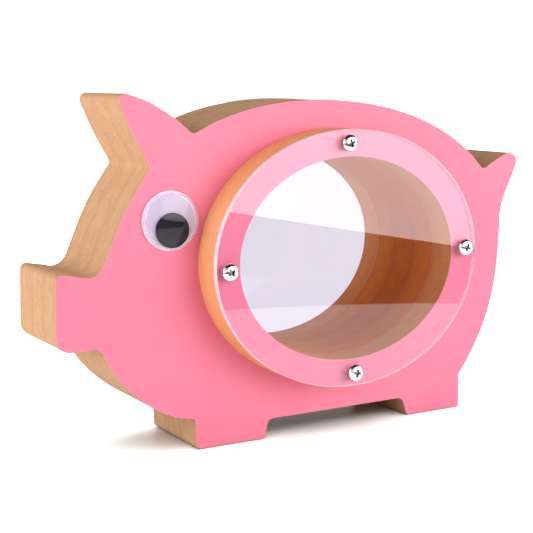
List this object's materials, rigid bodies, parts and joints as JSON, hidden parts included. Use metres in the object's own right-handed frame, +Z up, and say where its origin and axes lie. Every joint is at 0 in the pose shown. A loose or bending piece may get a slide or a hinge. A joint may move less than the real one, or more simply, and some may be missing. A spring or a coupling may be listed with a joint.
{
  "type": "money box",
  "caption": "Pig-shaped money box of layered MDF with pink faces, an oval see-through coin chamber behind screwed clear panes, googly eyes and a coin slot in its back.",
  "frame": {"origin": "on the floor under the middle of the whole box", "axes": "+X towards the tail, -Y out of the front window, +Z up; the feet stand on Z = 0"},
  "size_m": [0.227, 0.0856, 0.151],
  "materials": {
    "bare_mdf": "sanded and clear-sealed cut edge of MDF, light tan with fine fibres",
    "pink_film": "satin pink film with a fine orange-peel texture",
    "clear_acrylic": "clear sheet, polished edge",
    "screw_chrome": "bright plated steel",
    "eye_white": "glossy white",
    "eye_clear": "clear moulded dome",
    "pupil_black": "satin black"
  },
  "bodies": {
    "pig_body": {"front_board": "bare_mdf", "middle_board": "bare_mdf", "back_board": "bare_mdf", "front_face_film": "pink_film", "middle_board_film": "pink_film", "back_board_film": "pink_film", "back_face_film": "pink_film", "front_ring": "bare_mdf", "front_ring_film": "pink_film", "back_ring": "bare_mdf", "back_ring_film": "pink_film", "front_eye_base": "eye_white", "front_eye_dome": "eye_clear", "back_eye_base": "eye_white", "back_eye_dome": "eye_clear"},
    "front_window": {"front_window": "clear_acrylic"},
    "back_window": {"back_window": "clear_acrylic"},
    "front_screw_top": {"front_screw_top": "screw_chrome"},
    "front_screw_rear": {"front_screw_rear": "screw_chrome"},
    "front_screw_bottom": {"front_screw_bottom": "screw_chrome"},
    "front_screw_snout": {"front_screw_snout": "screw_chrome"},
    "back_screw_top": {"back_screw_top": "screw_chrome"},
    "back_screw_rear": {"back_screw_rear": "screw_chrome"},
    "back_screw_bottom": {"back_screw_bottom": "screw_chrome"},
    "back_screw_snout": {"back_screw_snout": "screw_chrome"},
    "front_pupil": {"front_pupil": "pupil_black"},
    "back_pupil": {"back_pupil": "pupil_black"}
  },
  "joints": [
    {"name": "front_window_lift", "type": "slide", "parent": "pig_body", "child": "front_window", "axis": [0, -1, 0], "range_m": [0, 0.012]},
    {"name": "back_window_lift", "type": "slide", "parent": "pig_body", "child": "back_window", "axis": [0, 1, 0], "range_m": [0, 0.012]},
    {"name": "front_screw_top_turn", "type": "hinge", "parent": "front_window", "child": "front_screw_top", "pos_m": [0.01325, 0.0015, 0.12675], "axis": [0, -1, 0], "range_deg": [0, 3330]},
    {"name": "front_screw_rear_turn", "type": "hinge", "parent": "front_window", "child": "front_screw_rear", "pos_m": [0.071, 0.0015, 0.0775], "axis": [0, -1, 0], "range_deg": [0, 3330]},
    {"name": "front_screw_bottom_turn", "type": "hinge", "parent": "front_window", "child": "front_screw_bottom", "pos_m": [0.01325, 0.0015, 0.02825], "axis": [0, -1, 0], "range_deg": [0, 3330]},
    {"name": "front_screw_snout_turn", "type": "hinge", "parent": "front_window", "child": "front_screw_snout", "pos_m": [-0.0445, 0.0015, 0.0775], "axis": [0, -1, 0], "range_deg": [0, 3330]},
    {"name": "back_screw_top_turn", "type": "hinge", "parent": "back_window", "child": "back_screw_top", "pos_m": [0.01325, 0.0015, 0.12675], "axis": [0, 1, 0], "range_deg": [0, 3330]},
    {"name": "back_screw_rear_turn", "type": "hinge", "parent": "back_window", "child": "back_screw_rear", "pos_m": [0.071, 0.0015, 0.0775], "axis": [0, 1, 0], "range_deg": [0, 3330]},
    {"name": "back_screw_bottom_turn", "type": "hinge", "parent": "back_window", "child": "back_screw_bottom", "pos_m": [0.01325, 0.0015, 0.02825], "axis": [0, 1, 0], "range_deg": [0, 3330]},
    {"name": "back_screw_snout_turn", "type": "hinge", "parent": "back_window", "child": "back_screw_snout", "pos_m": [-0.0445, 0.0015, 0.0775], "axis": [0, 1, 0], "range_deg": [0, 3330]},
    {"name": "front_pupil_roll", "type": "hinge", "parent": "pig_body", "child": "front_pupil", "pos_m": [-0.06225, -0.0235, 0.0985], "axis": [0, -1, 0], "continuous": true},
    {"name": "back_pupil_roll", "type": "hinge", "parent": "pig_body", "child": "back_pupil", "pos_m": [-0.06225, 0.0265, 0.0985], "axis": [0, 1, 0], "continuous": true}
  ],
  "couplings": [
    {"joint": "front_screw_top_turn", "follows": "front_window_lift", "rad_per_m": 4833.2},
    {"joint": "front_screw_rear_turn", "follows": "front_window_lift", "rad_per_m": 4833.2},
    {"joint": "front_screw_bottom_turn", "follows": "front_window_lift", "rad_per_m": 4833.2},
    {"joint": "front_screw_snout_turn", "follows": "front_window_lift", "rad_per_m": 4833.2},
    {"joint": "back_screw_top_turn", "follows": "back_window_lift", "rad_per_m": 4833.2},
    {"joint": "back_screw_rear_turn", "follows": "back_window_lift", "rad_per_m": 4833.2},
    {"joint": "back_screw_bottom_turn", "follows": "back_window_lift", "rad_per_m": 4833.2},
    {"joint": "back_screw_snout_turn", "follows": "back_window_lift", "rad_per_m": 4833.2}
  ]
}
